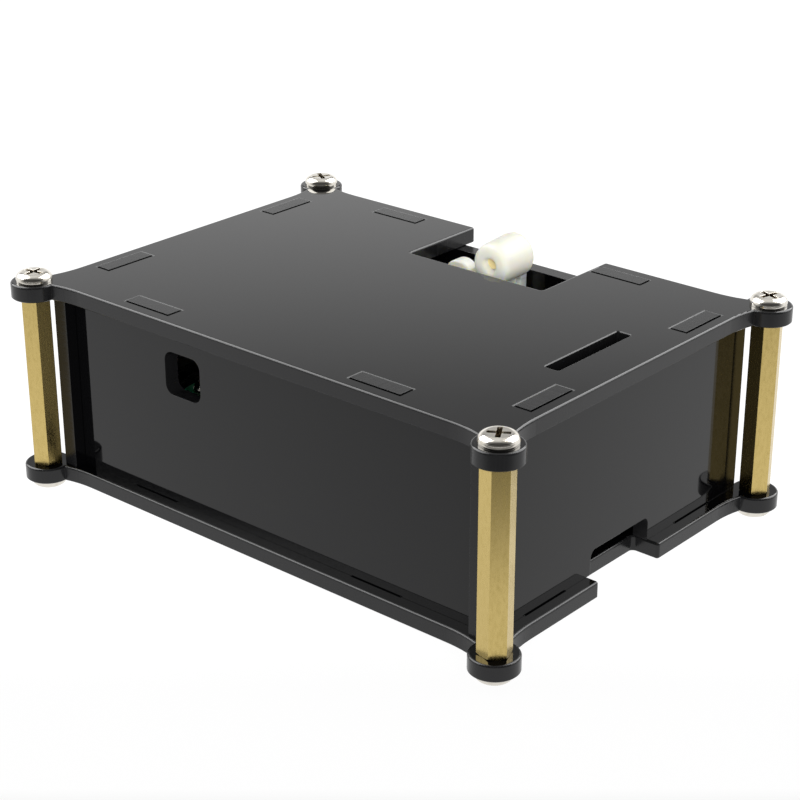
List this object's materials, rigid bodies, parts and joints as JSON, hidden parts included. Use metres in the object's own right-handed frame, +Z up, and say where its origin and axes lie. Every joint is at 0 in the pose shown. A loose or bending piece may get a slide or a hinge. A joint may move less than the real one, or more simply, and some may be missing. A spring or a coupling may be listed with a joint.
{
  "type": "acrylic board case",
  "caption": "Tabbed case of glossy black acrylic sheet on hexagon corner posts, built round a small computer board with a stacked sound board, with a notched lid and cable windows.",
  "frame": {"origin": "middle of the case in plan, on the surface that the base screws' heads stand on", "axes": "+X along the long side towards the memory card's end, +Y to the back with the lid's notch, +Z up"},
  "size_m": [0.1048, 0.0768, 0.0407],
  "materials": {
    "black_acrylic": "polished cast sheet, laser cut edges",
    "brass_bar": "satin drawn bar",
    "nickel_steel": "bright nickel plate",
    "white_nylon": "moulded",
    "green_board": "solder mask over glass fibre",
    "socket_steel": "tinned sheet",
    "black_plastic": "moulded",
    "pale_plastic": "moulded",
    "gold_contact": "gold plated",
    "can_aluminium": "bare",
    "cream_plastic": "smooth moulded"
  },
  "bodies": {
    "root": {"audio_socket": "black_plastic", "back_wall": "black_acrylic", "base_plate": "black_acrylic", "base_screws": "nickel_steel", "board_screws": "nickel_steel", "board_spacers": "white_nylon", "camera_connector": "pale_plastic", "camera_latch": "black_plastic", "capacitor_bases": "black_plastic", "capacitor_cans": "can_aluminium", "card_slot": "socket_steel", "converter_chip": "black_plastic", "converter_leads": "can_aluminium", "crystals": "can_aluminium", "display_connector": "pale_plastic", "display_latch": "black_plastic", "front_wall": "black_acrylic", "header_pins": "gold_contact", "header_socket": "black_plastic", "header_strip": "black_plastic", "jack_contact": "gold_contact", "jack_low": "cream_plastic", "jack_tall": "cream_plastic", "left_wall": "black_acrylic", "main_board": "green_board", "network_socket": "socket_steel", "post_back_left": "brass_bar", "post_back_right": "brass_bar", "post_front_left": "brass_bar", "post_front_right": "brass_bar", "power_socket": "socket_steel", "processor": "black_plastic", "right_wall": "black_acrylic", "sound_board": "green_board", "stack_posts": "brass_bar", "stack_screws": "nickel_steel", "top_plate": "black_acrylic", "top_screws": "nickel_steel", "usb_controller": "black_plastic", "usb_shell_back": "socket_steel", "usb_shell_front": "socket_steel", "usb_tongues_back": "black_plastic", "usb_tongues_front": "black_plastic", "video_socket": "socket_steel", "video_tongue": "black_plastic"}
  },
  "joints": []
}
